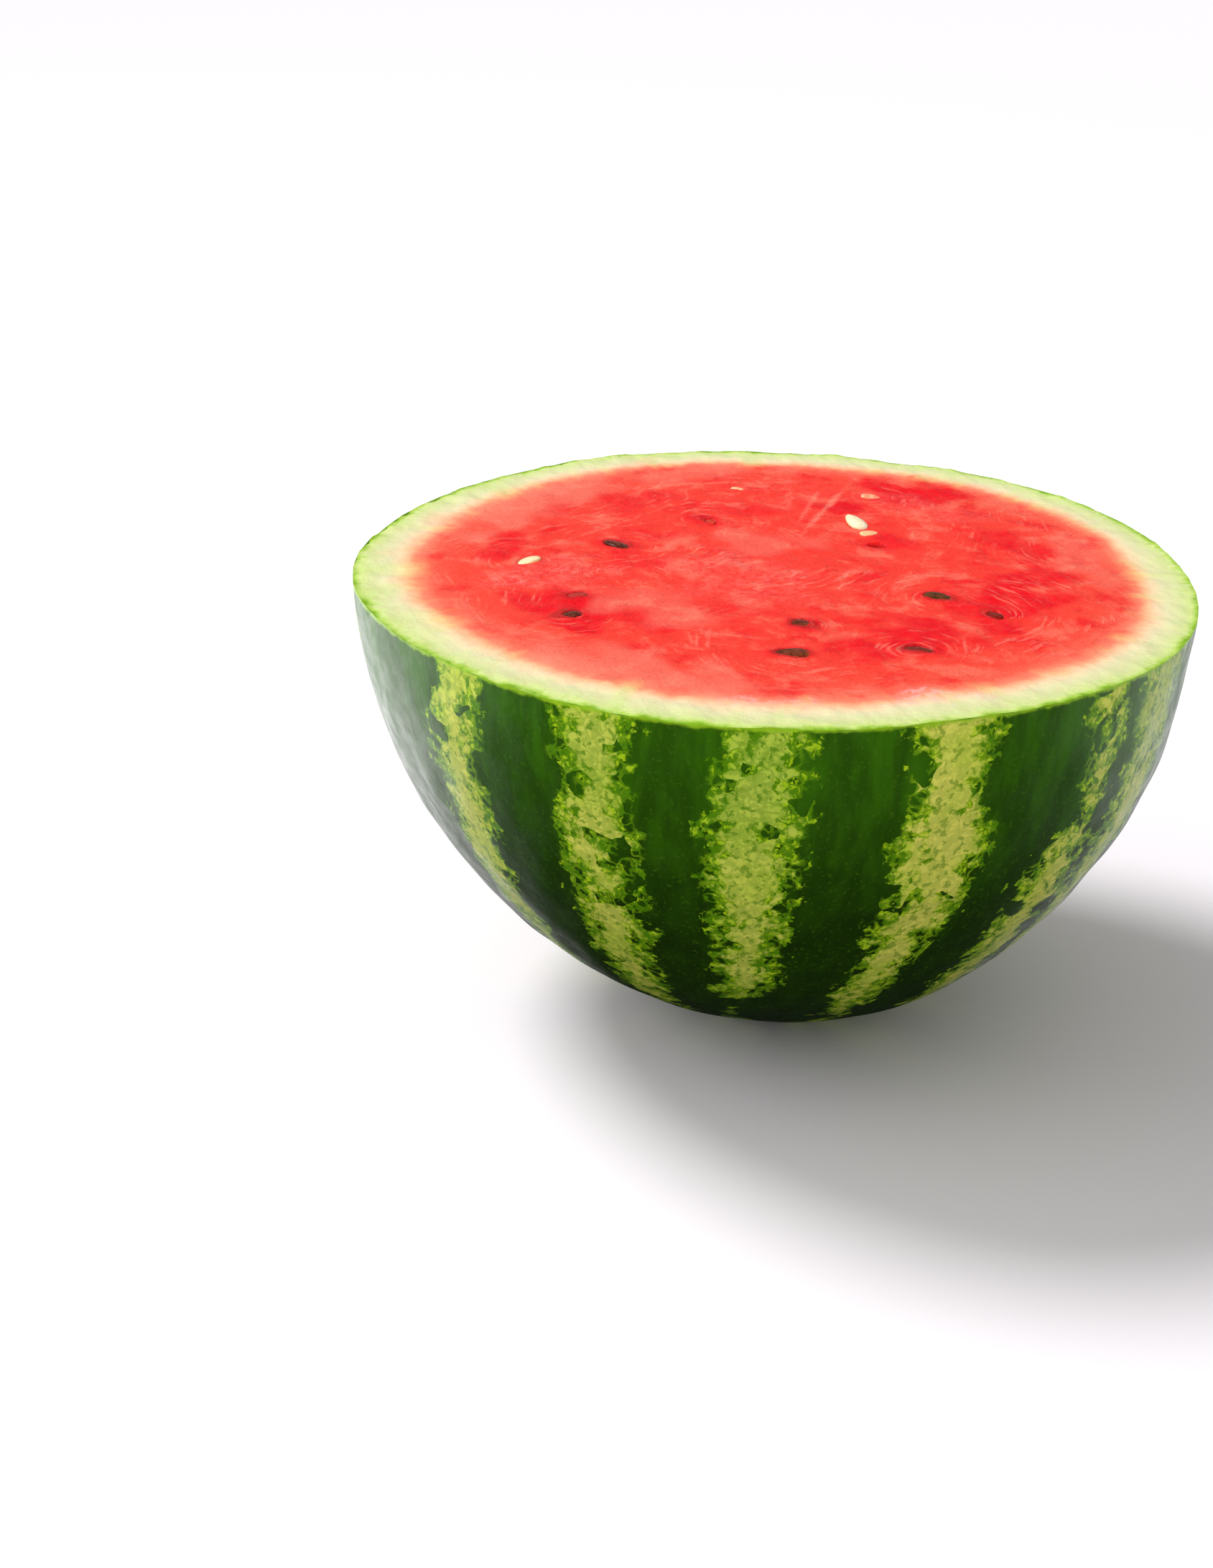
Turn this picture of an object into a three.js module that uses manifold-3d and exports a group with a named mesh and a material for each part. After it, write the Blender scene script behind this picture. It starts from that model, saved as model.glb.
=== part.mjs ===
// Half of a round striped watermelon, cut straight across and standing on its uncut end.
// Skin, rind and flesh grew as one piece, so they are one solid. The seeds that the cut lays
// open are pieces of their own, each lying in a socket in the flesh.
// Millimetres, +Z up. The origin is the middle of the flat spot that the half rests on.

import * as THREE from 'three';
import { mergeVertices } from 'three/addons/utils/BufferGeometryUtils.js';
import Module from 'manifold-3d';

// ---- The fruit ----
const FACE_RADIUS = 125;        // middle of the cut face to the skin
const HALF_HEIGHT = 139;        // flat spot to cut face
const RESTING_RADIUS = 20;      // flat spot under the rounded end
const PROFILE_EXPONENT = 1.92;  // 2 is an ellipse from rim to end, less is more pointed
const END_LEAN = 6;             // how far the end lies towards +X from under the face's middle
const SIDE_SWELL = 1;           // extra radius towards +X
const LOBE_COUNT = 5;           // shallow lobes round the fruit
const LOBE_HEIGHT = 1;
const LOBE_ANGLE = 40;          // degrees from +X to the crest of the first lobe

// ---- The seeds: full length, width across the flat and thickness ----
const DARK_SEED = { length: 11, width: 6.6, thickness: 2.6, taper: 0.28 };
const PALE_SEED = { length: 10.4, width: 6, thickness: 2.4, taper: 0.24 };
const SMALL_SEED = { length: 6.4, width: 3.4, thickness: 1.4, taper: 0.3 };
const SEED_CLEARANCE = 0.3;     // between a seed and its socket, all round
const PAIR_GAP = 1;             // between a pale seed and the small one at its end

// ---- The empty pocket that a seed fell out of ----
const POCKET = { length: 6.4, width: 4.4, depth: 3.2 };
const POCKET_REACH = 0.346;     // share of the face's radius from its middle
const POCKET_ANGLE = 37;        // degrees from +X
const POCKET_YAW = 5;           // direction of its length, degrees from +X

// ---- Facets ----
const ROUND_STEPS = 80;
const PROFILE_STEPS = 14;
const SEED_SIDES = 12;
const SEED_STEPS = 8;

// ---- Where each seed lies ----
// reach and angle place it on the cut face: the share of the face's radius and degrees from +X.
// yaw turns its length from +X, pitch dips its narrow end and roll tips it about its length, all
// in degrees. proud is how far its highest point stands above the face.
const DARK_SEEDS = [
  { reach: 0.404, angle: 155.0, yaw: 143, pitch: -7, roll: 14, proud: 0.75 },
  { reach: 0.598, angle: 215.3, yaw: 213, pitch: 4, roll: 12, proud: 0.75 },
  { reach: 0.394, angle: 278.4, yaw: -42, pitch: 5, roll: 12, proud: 0.65 },
  { reach: 0.569, angle: 271.5, yaw: 180, pitch: 0, roll: -8, proud: 0.95 },
  { reach: 0.429, angle: 334.6, yaw: -30, pitch: 4, roll: 10, proud: 0.8 },
  { reach: 0.610, angle: 298.6, yaw: -20, pitch: -8, roll: 12, proud: 0.5 },
];
const BROWN_SEEDS = [
  { reach: 0.524, angle: 204.6, yaw: 20, pitch: -14, roll: 10, proud: 0.35 },
  { reach: 0.562, angle: 329.8, yaw: -50, pitch: -15, roll: 12, proud: 0.3 },
  { reach: 0.408, angle: 111.9, yaw: -45, pitch: -20, roll: 14, proud: 0.3 },
];
const PALE_SEEDS = [
  { size: PALE_SEED, reach: 0.588, angle: 177.7, yaw: 230, pitch: 2, roll: 14, proud: 1.3 },
  { size: PALE_SEED, reach: 0.434, angle: 57.3, yaw: 112, pitch: -9, roll: 4, proud: 1.9 },
  { size: SMALL_SEED, reach: 0.673, angle: 64.1, yaw: -8, pitch: 3, roll: 10, proud: 0.45 },
  { size: SMALL_SEED, reach: 0.644, angle: 94.3, yaw: -24, pitch: 6, roll: 8, proud: 0.4 },
];
// The small pale seed that lies at the blunt end of the second pale one.
const PAIRED_SEED = { size: SMALL_SEED, beside: PALE_SEEDS[1], yaw: 30, pitch: 2, roll: 8, proud: 0.5 };

const wasm = await Module();
wasm.setup();

const radians = THREE.MathUtils.degToRad;

// A closed geometry as a solid that can be joined and cut.
function toSolid(geometry) {
  const bare = geometry.clone();
  bare.deleteAttribute('normal');
  bare.deleteAttribute('uv');
  const merged = mergeVertices(bare, 1e-4);
  return new wasm.Manifold(new wasm.Mesh({
    numProp: 3,
    vertProperties: new Float32Array(merged.attributes.position.array),
    triVerts: new Uint32Array(merged.index.array),
  }));
}

function toGeometry(solid) {
  const mesh = solid.getMesh();
  const geometry = new THREE.BufferGeometry();
  geometry.setAttribute('position', new THREE.BufferAttribute(mesh.vertProperties, 3));
  geometry.setIndex(new THREE.BufferAttribute(mesh.triVerts, 1));
  geometry.computeVertexNormals();
  return geometry;
}

// Radius of the fruit over its mean radius, round the compass.
function roundness(angle) {
  const lobes = LOBE_HEIGHT * Math.cos(LOBE_COUNT * (angle - radians(LOBE_ANGLE)));
  return 1 + (SIDE_SWELL * Math.cos(angle) + lobes) / FACE_RADIUS;
}

// The uncut half: a superellipse from the rim to the flat spot, turned about +Z, then lobed and
// leaned. The lean grows with the square of the depth, so the skin stays upright at the rim.
function halfGeometry() {
  const power = 2 / PROFILE_EXPONENT;
  const endTurn = Math.acos((RESTING_RADIUS / FACE_RADIUS) ** (1 / power));
  const endDepth = Math.sin(endTurn) ** power;
  const outline = [new THREE.Vector2(0, 0)];
  for (let step = PROFILE_STEPS; step >= 0; step--) {
    const turn = endTurn * step / PROFILE_STEPS;
    const depth = HALF_HEIGHT * Math.sin(turn) ** power / endDepth;
    outline.push(new THREE.Vector2(FACE_RADIUS * Math.cos(turn) ** power, HALF_HEIGHT - depth));
  }
  outline.push(new THREE.Vector2(0, HALF_HEIGHT));

  const geometry = new THREE.LatheGeometry(outline, ROUND_STEPS);
  geometry.rotateX(Math.PI / 2);
  const places = geometry.attributes.position;
  for (let i = 0; i < places.count; i++) {
    const swell = roundness(Math.atan2(places.getY(i), places.getX(i)));
    const depth = 1 - places.getZ(i) / HALF_HEIGHT;
    places.setX(i, places.getX(i) * swell - END_LEAN * (1 - depth ** 2));
    places.setY(i, places.getY(i) * swell);
  }
  return geometry;
}

// A flattened teardrop along X with its narrow end at +X. grow adds clearance all round.
function seedGeometry(size, grow = 0) {
  const halfLength = size.length / 2 + grow;
  const halfWidth = size.width / 2 + grow;
  const halfThickness = size.thickness / 2 + grow;
  const outline = [];
  for (let step = 0; step <= SEED_STEPS; step++) {
    const turn = Math.PI * step / SEED_STEPS;
    const radius = step % SEED_STEPS === 0 ? 0 : Math.sin(turn) * (1 + size.taper * Math.cos(turn));
    outline.push(new THREE.Vector2(halfWidth * radius, -halfLength * Math.cos(turn)));
  }
  const geometry = new THREE.LatheGeometry(outline, SEED_SIDES);
  geometry.rotateZ(-Math.PI / 2);
  geometry.scale(1, 1, halfThickness / halfWidth);
  return geometry;
}

// A point on the cut face.
function onFace(reach, angle) {
  const turn = radians(angle);
  return new THREE.Vector3(
    reach * FACE_RADIUS * Math.cos(turn) - END_LEAN,
    reach * FACE_RADIUS * Math.sin(turn),
    HALF_HEIGHT,
  );
}

// Where a seed's middle is, seen from above. A paired seed lies end to end with the other one.
function seedPlace(seed) {
  if (!seed.beside) {
    return onFace(seed.reach, seed.angle);
  }
  const big = seed.beside;
  const apart = (big.size.length + seed.size.length) / 2 + PAIR_GAP;
  const bluntWay = new THREE.Vector3(-Math.cos(radians(big.yaw)), -Math.sin(radians(big.yaw)), 0);
  return onFace(big.reach, big.angle).addScaledVector(bluntWay, apart);
}

// The seed's mesh, and the socket that holds it with the clearance all round.
function makeSeed(name, seed, material) {
  const mesh = new THREE.Mesh(seedGeometry(seed.size), material.clone());
  mesh.name = name;
  mesh.rotation.set(radians(seed.roll), radians(seed.pitch), radians(seed.yaw), 'ZYX');
  const top = new THREE.Box3().setFromObject(mesh, true).max.z;
  mesh.position.copy(seedPlace(seed));
  mesh.position.z += seed.proud - top;
  mesh.updateMatrixWorld();
  const socket = seedGeometry(seed.size, SEED_CLEARANCE).applyMatrix4(mesh.matrixWorld);
  return { mesh, socket };
}

// Every seed is of the dark ones' size unless its row says otherwise.
function makeSeeds(kind, rows, material) {
  return rows.map((row, i) => makeSeed(`${kind}_seed_${i + 1}`, { size: DARK_SEED, ...row }, material));
}

// An egg shape whose lower half is cut from the flesh.
function pocketGeometry() {
  const geometry = new THREE.SphereGeometry(1, SEED_SIDES, SEED_STEPS);
  geometry.scale(POCKET.length / 2, POCKET.width / 2, POCKET.depth);
  geometry.rotateZ(radians(POCKET_YAW));
  const middle = onFace(POCKET_REACH, POCKET_ANGLE);
  geometry.translate(middle.x, middle.y, middle.z);
  return geometry;
}

const fleshMaterial = new THREE.MeshStandardMaterial({ color: 0xe8382e, roughness: 0.45, metalness: 0 });
const darkSeedMaterial = new THREE.MeshStandardMaterial({ color: 0x2a160e, roughness: 0.35, metalness: 0 });
const brownSeedMaterial = new THREE.MeshStandardMaterial({ color: 0x5c2417, roughness: 0.4, metalness: 0 });
const paleSeedMaterial = new THREE.MeshStandardMaterial({ color: 0xf4e3bd, roughness: 0.4, metalness: 0 });

const seeds = [
  ...makeSeeds('dark', DARK_SEEDS, darkSeedMaterial),
  ...makeSeeds('brown', BROWN_SEEDS, brownSeedMaterial),
  ...makeSeeds('pale', [...PALE_SEEDS, PAIRED_SEED], paleSeedMaterial),
];

let flesh = toSolid(halfGeometry()).subtract(toSolid(pocketGeometry()));
for (const { socket } of seeds) {
  flesh = flesh.subtract(toSolid(socket));
}
const melonHalf = new THREE.Mesh(toGeometry(flesh), fleshMaterial);
melonHalf.name = 'melon_half';

const group = new THREE.Group();
group.add(melonHalf, ...seeds.map(({ mesh }) => mesh));

export default group;
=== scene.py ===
import math

import bpy
import numpy as np
from mathutils import Matrix, Vector, geometry


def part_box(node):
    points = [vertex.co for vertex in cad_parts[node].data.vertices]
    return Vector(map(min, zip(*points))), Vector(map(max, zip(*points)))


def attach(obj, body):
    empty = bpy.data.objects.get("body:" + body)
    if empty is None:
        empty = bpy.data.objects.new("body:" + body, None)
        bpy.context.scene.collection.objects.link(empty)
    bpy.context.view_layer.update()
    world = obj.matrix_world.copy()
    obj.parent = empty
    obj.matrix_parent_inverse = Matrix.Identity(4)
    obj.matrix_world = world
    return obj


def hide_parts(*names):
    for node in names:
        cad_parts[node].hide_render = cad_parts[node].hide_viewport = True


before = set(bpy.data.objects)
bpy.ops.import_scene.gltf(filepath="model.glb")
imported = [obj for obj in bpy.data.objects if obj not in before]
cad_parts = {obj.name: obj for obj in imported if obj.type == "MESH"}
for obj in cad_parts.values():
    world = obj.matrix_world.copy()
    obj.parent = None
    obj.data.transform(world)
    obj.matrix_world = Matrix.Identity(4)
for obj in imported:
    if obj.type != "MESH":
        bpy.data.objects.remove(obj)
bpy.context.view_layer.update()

MM = 0.001
RANDOM_SEED = 7

# ---- The melon's shape, from the frame and from the sizes that the CAD part is drawn with ----
MELON_LOW, MELON_HIGH = (np.array(corner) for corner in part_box("melon_half"))
FACE_RADIUS = (MELON_HIGH[0] - MELON_LOW[0]) / 2
FACE_MIDDLE = np.array([(MELON_LOW[0] + MELON_HIGH[0]) / 2, 0.0, MELON_HIGH[2]])
HALF_HEIGHT = MELON_HIGH[2]
END_LEAN = -FACE_MIDDLE[0]
RESTING_RADIUS = 20 * MM
PROFILE_POWER = 2 / 1.92
SIDE_SWELL = 1 * MM
LOBE_COUNT = 5
LOBE_HEIGHT = 1 * MM
LOBE_ANGLE = math.radians(40)
END_TURN = math.acos((RESTING_RADIUS / FACE_RADIUS) ** (1 / PROFILE_POWER))

# ---- The camera: it looks along +Y, tipped down, with the melon right of and above its axis ----
LENS_MM = 57.7
CAMERA_DIP = math.radians(23.86)
CAMERA_ROLL = math.radians(0.99)
FACE_ALONG_AXIS = 755 * MM
FACE_RIGHT_OF_AXIS = 49.3 * MM
FACE_ABOVE_AXIS = 64.5 * MM

# ---- The light of the white tent: high up in front, low down in front, and behind ----
FRONT_LIGHT = 0.55
LOW_LIGHT = 0.10
BACK_LIGHT = 0.36

# ---- The lights. A sun has the way it shines, its strength and its softness in degrees ----
SOFT_KEY = ((0.84, -0.50, -1.28), 1.84, 22)
FRONT_FILL = ((0.1, 1.0, -0.52), 1.75, 70)
PANEL_PLACE = (-1.3, 0.1, 0.55)
PANEL_AIM = (0, 0, 0.07)
PANEL_SIZE = (1.6, 1.3)
PANEL_ENERGY = 9

# ---- The floor: half its size, its colour to the camera, and what it throws at the melon ----
FLOOR_REACH = 8
FLOOR_COLOUR = (1.24, 1.18, 1.24, 1.0)
FLOOR_LIGHT = (0.30, 0.60)      # in front of the melon and behind it
FLOOR_MIRROR = (0.05, 2.2, 1.15)    # brightness mirrored in the skin from in front, left and right

# ---- Mesh density ----
RIM_POINTS = 480
SKIN_RINGS = 84
FACE_SPACING = 1.25 * MM
FINE_SPACING = 0.5 * MM
FINE_REACH = 3.5 * MM           # how far past a seed the face's mesh is fine
SPOT_SPACING = 1.5 * MM

# ---- The cut face ----
RIND_DEPTH = 15.0               # mm of rind that the colours below are given for
RIND_THICKNESS = (14.6, -0.9, -1.6)     # mm on average, then how much more towards +X and +Y
FACE_RELIEF = [(0.14, 26), (0.10, 5), (0.05, 2.2)]      # height and size of its bumps in mm
STROKE_HEIGHT = 0.05 * MM       # low steps that the knife leaves, square to STROKE_ANGLE
STROKE_ANGLE = math.radians(72)
STROKE_LENGTH = 7 * MM
SOCKET_GAP = 0.2 * MM           # between a seed and the flesh round it
LIP_REACH = 2.2 * MM            # how far from a seed the flesh rises towards it
HALO_SIZE = 9                   # mm over which the curls of fibre round two seeds merge
POCKET_PLACE = (0.346, 37)      # the empty pocket: share of the radius, degrees from +X
POCKET_HALF = (3.2 * MM, 2.2 * MM, 3.1 * MM)

# Wear of the rim: low ripples, then nicks, by degrees from +X, half width and depth in mm.
RIM_RIPPLE = (0.10, 6)          # height and size in mm
RIM_SHRINK = 0.6                # how far wear draws the rim inwards, as a share of its depth
RIM_NICKS = [
    (171, 1.8, 0.5), (164, 2.4, 0.9), (157, 1.8, 0.7), (149, 2.8, 0.9), (137, 2.0, 0.6),
    (121, 2.4, 0.6), (97, 2.0, 0.4), (66, 2.2, 0.6), (52, 3.0, 0.9), (41, 1.8, 0.5),
    (20, 1.8, 0.6), (-9, 2.0, 0.5), (-31, 1.8, 0.5), (-58, 2.4, 0.6), (-84, 2.6, 0.5),
    (-111, 2.2, 0.7), (-133, 1.8, 0.5), (-160, 2.2, 0.7),
]

# Crimson clouds in the flesh, by reach and angle, with their two half sizes in mm and strength.
CRIMSON_CLOUDS = [
    (0.57, 213, 20, 15, 1.00),
    (0.66, 169, 11, 8, 0.80),
    (0.55, 304, 22, 15, 1.00),
    (0.58, 340, 24, 16, 1.00),
    (0.64, 355, 14, 12, 0.80),
    (0.76, 57, 19, 13, 0.95),
    (0.54, 68, 9, 7, 1.00),
    (0.62, 122, 16, 9, 0.60),
    (0.66, 20, 17, 9, 0.75),
    (0.36, 170, 12, 8, 0.55),
    (0.36, 36, 12, 8, 0.70),
    (0.46, 96, 12, 7, 0.50),
    (0.30, 250, 14, 7, 0.35),
]
# Patches of painted highlight, a pale pink sheen on the flesh, given the same way.
PAINTED_SHEEN_PATCHES = [
    (0.86, 293, 17, 5, 0.9),
    (0.855, 267, 15, 4, 0.7),
    (0.10, 225, 28, 20, 0.12),
    (0.66, 50, 26, 9, 0.12),
    (0.55, 187, 14, 20, 0.20),
]

# Thin pale streaks and wide pale washes, given the same way.
PALE_STREAKS = [
    (0.77, 140, 44, 13, 0.34),
    (0.80, 104, 30, 8, 0.22),
    (0.74, 243, 34, 12, 0.30),
    (0.40, 225, 22, 12, 0.22),
    (0.20, 95, 16, 12, 0.22),
    (0.78, 8, 24, 8, 0.22),
    (0.50, 71, 0.9, 30, 0.45),
    (0.52, 76, 0.7, 22, 0.35),
    (0.70, 98, 24, 0.9, 0.25),
    (0.50, 138, 20, 0.8, 0.25),
    (0.47, 252, 18, 0.9, 0.25),
    (0.75, 238, 26, 0.9, 0.25),
]

# ---- The skin ----
SKIN_RELIEF = [(0.35, 30), (0.12, 9)]   # height and size of its bumps in mm
SKIN_SINK = 0.3 * MM            # keeps the bumps inside the part's size
SCAR_DEPTH = 1.2 * MM           # the blossom scar in the middle of the flat spot
SCAR_REACH = (2 * MM, 6.5 * MM)     # where its slope starts and ends
SCAR_COLOUR_REACH = (3 * MM, 7 * MM)

# The skin's pale stripes: (turn from the rim, azimuth, width), the angles in degrees.
NEAR_STRIPES = [
    [(0, -137, 9), (80, -146, 8)],
    [(0, -114.5, 10), (12, -115, 9), (30, -116.5, 10), (55, -119, 9), (80, -124, 9)],
    [
        (0, -92.5, 8), (9, -94.2, 11.5), (18, -95, 11.5), (29, -95.2, 9), (37, -96, 10),
        (43, -97, 7), (48, -101, -1), (60, -102, 2), (80, -104, 8),
    ],
    [
        (0, -69.5, 10), (9, -70.5, 9.5), (18, -69.5, 12.5), (26, -70, 11.5), (34, -72.5, 9.5),
        (48, -75.5, 9), (54, -77, 3), (64, -79, 3), (80, -82, 8),
    ],
    [
        (0, -46.5, 6.5), (9, -46.5, 5), (14, -45.2, 4), (17, -46, -3), (19.5, -48.3, 6),
        (25, -48.8, 9), (32, -49, 9), (39, -49.5, 12), (46, -50, 13.5), (62, -54, 11),
        (80, -60, 9),
    ],
    [(0, -33.5, 11), (18, -35, 9.5), (27, -37, 8), (45, -39, 7), (80, -44, 8)],
]
STRIPE_GREENS = [0.3, 0.6, 0.8, 0.1, 0.2, 0.6]     # how much green net each of them has
FAR_STRIPE_COUNT = 9
FAR_STRIPE_END = 182            # azimuth of the furthest of the other stripes
FAR_STRIPE_TWIST = -9           # degrees that the other stripes turn from the rim to the end
FAR_STRIPE_WIDTH = 11

# ---- The seeds ----
SEED_TAPER = 0.26
SEED_ROWS = 56
SEED_SIDES = 40
# How far the flesh rises to cover the edges of each kind of seed.
SEED_LIPS = {"dark": 0.32 * MM, "brown": 0.22 * MM, "pale": 0.08 * MM}
# The colours on screen of a coat's face, edge and spots, and how strongly it mirrors.
COAT_COLOURS = {
    "dark_seed": ((44, 20, 6), (14, 6, 2), (118, 58, 34), 0.16),
    "brown_seed": ((96, 34, 22), (60, 20, 14), (120, 56, 30), 0.08),
    "pale_seed": ((246, 232, 186), (238, 206, 146), (252, 244, 214), 0.25),
}
# The thin film of flesh or tint on some seeds: its colour on screen and how much it covers.
SEED_FILMS = {
    "dark_seed_1": ((150, 34, 22), 0.15),
    "dark_seed_2": ((150, 34, 22), 0.15),
    "dark_seed_3": ((170, 50, 24), 0.15),
    "dark_seed_4": ((160, 66, 24), 0.20),
    "dark_seed_5": ((92, 58, 6), 0.50),
    "dark_seed_6": ((132, 30, 22), 0.60),
    "brown_seed_1": ((190, 62, 54), 0.85),
    "brown_seed_2": ((128, 16, 12), 0.85),
    "brown_seed_3": ((216, 58, 40), 0.95),
    "pale_seed_1": ((250, 214, 140), 0.40),
    "pale_seed_3": ((255, 136, 96), 0.95),
    "pale_seed_4": ((252, 182, 128), 0.90),
    "pale_seed_5": ((255, 186, 124), 0.90),
}


def srgb(red, green, blue):
    """A colour given as 0 to 255 on screen, as linear RGBA."""
    def linear(value):
        value /= 255
        return value / 12.92 if value <= 0.04045 else ((value + 0.055) / 1.055) ** 2.4
    return (linear(red), linear(green), linear(blue), 1.0)


def on_face(reach, angle):
    """A point on the cut face: the share of its radius, and degrees from +X."""
    turn = math.radians(angle)
    across = np.array([math.cos(turn), math.sin(turn), 0.0])
    return FACE_MIDDLE + reach * FACE_RADIUS * across


def smooth_step(value, low, high):
    share = np.clip((value - low) / (high - low), 0, 1)
    return share * share * (3 - 2 * share)


def ripples(places, size, rng, count=14):
    """Smooth random relief of about unit height over places, with blobs about size across."""
    total = np.zeros(len(places))
    for _ in range(count):
        way = rng.normal(size=places.shape[1])
        way /= np.linalg.norm(way)
        wave = 2 * size * rng.uniform(0.7, 1.5)
        total += np.sin(places @ way * (2 * math.pi / wave) + rng.uniform(0, 2 * math.pi))
    return total / math.sqrt(count / 2)


def relief(points, rows, rng):
    """Bumps laid over one another. Each row gives their height and size in mm."""
    total = np.zeros(len(points))
    for height, size in rows:
        total += height * MM * ripples(points, size * MM, rng)
    return total


def set_values(mesh, name, values):
    """Store a number at each point of the mesh, and zero at those after the last one given."""
    padded = np.zeros(len(mesh.vertices), np.float32)
    padded[:len(values)] = values
    mesh.attributes.new(name, "FLOAT", "POINT").data.foreach_set("value", padded)


def set_colours(mesh, name, colours):
    """Store a colour with its alpha in the same way."""
    padded = np.zeros((len(mesh.vertices), 4), np.float32)
    padded[:len(colours)] = colours
    layer = mesh.attributes.new(name, "FLOAT_COLOR", "POINT")
    layer.data.foreach_set("color", padded.ravel())


# ---------------------------------------------------------------- materials

class Graph:
    """The nodes of a material or of the world, with a short call for each kind that they use."""

    def __init__(self, owner):
        owner.use_nodes = True
        self.owner = owner
        self.tree = owner.node_tree
        self.tree.nodes.clear()

    def feed(self, socket, value):
        if isinstance(value, bpy.types.NodeSocket):
            self.tree.links.new(value, socket)
        else:
            socket.default_value = value

    def node(self, kind, inputs=(), **settings):
        node = self.tree.nodes.new("ShaderNode" + kind)
        for name, value in settings.items():
            setattr(node, name, value)
        for name, value in dict(inputs).items():
            self.feed(node.inputs[name], value)
        return node

    def millimetres(self):
        """Where the point is, in the part's own frame, in millimetres."""
        place = self.node("TexCoord").outputs["Object"]
        inputs = {0: place, "Scale": 1 / MM}
        return self.node("VectorMath", inputs, operation="SCALE").outputs[0]

    def attribute(self, name, output="Fac"):
        return self.node("Attribute", attribute_name=name).outputs[output]

    def split(self, colour):
        return self.node("SeparateColor", {0: colour}).outputs

    def math(self, operation, first, second=0.0, clamp=False):
        inputs = {0: first, 1: second}
        return self.node("Math", inputs, operation=operation, use_clamp=clamp).outputs[0]

    def add(self, *values):
        total = values[0]
        for value in values[1:]:
            total = self.math("ADD", total, value)
        return total

    def times(self, first, second, clamp=False):
        return self.math("MULTIPLY", first, second, clamp=clamp)

    def vector(self, operation, first, second=(0, 0, 0)):
        return self.node("VectorMath", {0: first, 1: second}, operation=operation).outputs[0]

    def noise(self, place, size, detail=2.0, rough=0.5, output=0):
        """Noise whose blobs are about size across, in the units of place."""
        inputs = {"Vector": place, "Scale": 1 / size, "Detail": detail, "Roughness": rough}
        return self.node("TexNoise", inputs).outputs[output]

    def swing(self, place, size, reach, **more):
        """Noise about zero, from -reach to reach."""
        return self.times(self.math("SUBTRACT", self.noise(place, size, **more), 0.5), 2 * reach)

    def cells(self, place, size, output="Distance", **settings):
        inputs = {"Vector": place, "Scale": 1 / size}
        return self.node("TexVoronoi", inputs, **settings).outputs[output]

    def warped(self, place, size, reach):
        """place pushed about by noise, so that a pattern laid on it isn't regular."""
        push = self.vector("SUBTRACT", self.noise(place, size, output=1), (0.5, 0.5, 0.5))
        node = self.node("VectorMath", {0: push, "Scale": 2 * reach}, operation="SCALE")
        return self.vector("ADD", place, node.outputs[0])

    def step(self, value, low, high, bottom=0.0, top=1.0):
        """A smooth step of value from low to high."""
        inputs = {
            "Value": value,
            "From Min": low,
            "From Max": high,
            "To Min": bottom,
            "To Max": top,
        }
        return self.node("MapRange", inputs, interpolation_type="SMOOTHSTEP").outputs[0]

    def ramp(self, value, *stops):
        """A colour ramp through (position, colour) stops."""
        node = self.node("ValToRGB", {0: value})
        elements = node.color_ramp.elements
        while len(elements) < len(stops):
            elements.new(1.0)
        for element, (position, colour) in zip(elements, stops):
            element.position = position
            element.color = colour
        return node.outputs[0]

    def mix(self, share, first, second, blend="MIX"):
        node = self.node("Mix", data_type="RGBA", blend_type=blend)
        self.feed(node.inputs[0], share)
        self.feed(node.inputs[6], first)
        self.feed(node.inputs[7], second)
        return node.outputs[2]

    def grey(self, value):
        return self.node("CombineColor", {0: value, 1: value, 2: value}).outputs[0]

    def bump(self, height, depth, strength=1.0, over=None):
        """A bump as deep as depth, in metres, laid over another bump."""
        inputs = {"Height": height, "Distance": depth, "Strength": strength}
        if over is not None:
            inputs["Normal"] = over
        return self.node("Bump", inputs).outputs[0]

    def finish(self, color, roughness, specular=0.5, normal=None, **shader):
        inputs = {"Base Color": color, "Roughness": roughness, "Specular IOR Level": specular}
        inputs.update({name.replace("_", " "): value for name, value in shader.items()})
        if normal is not None:
            inputs["Normal"] = normal
        return self.output(self.node("BsdfPrincipled", inputs).outputs[0])

    def output(self, surface, kind="OutputMaterial"):
        self.node(kind, {"Surface": surface})
        return self.owner

    def blend(self, share, first, second):
        return self.node("MixShader", {0: share, 1: first, 2: second}).outputs[0]


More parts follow.
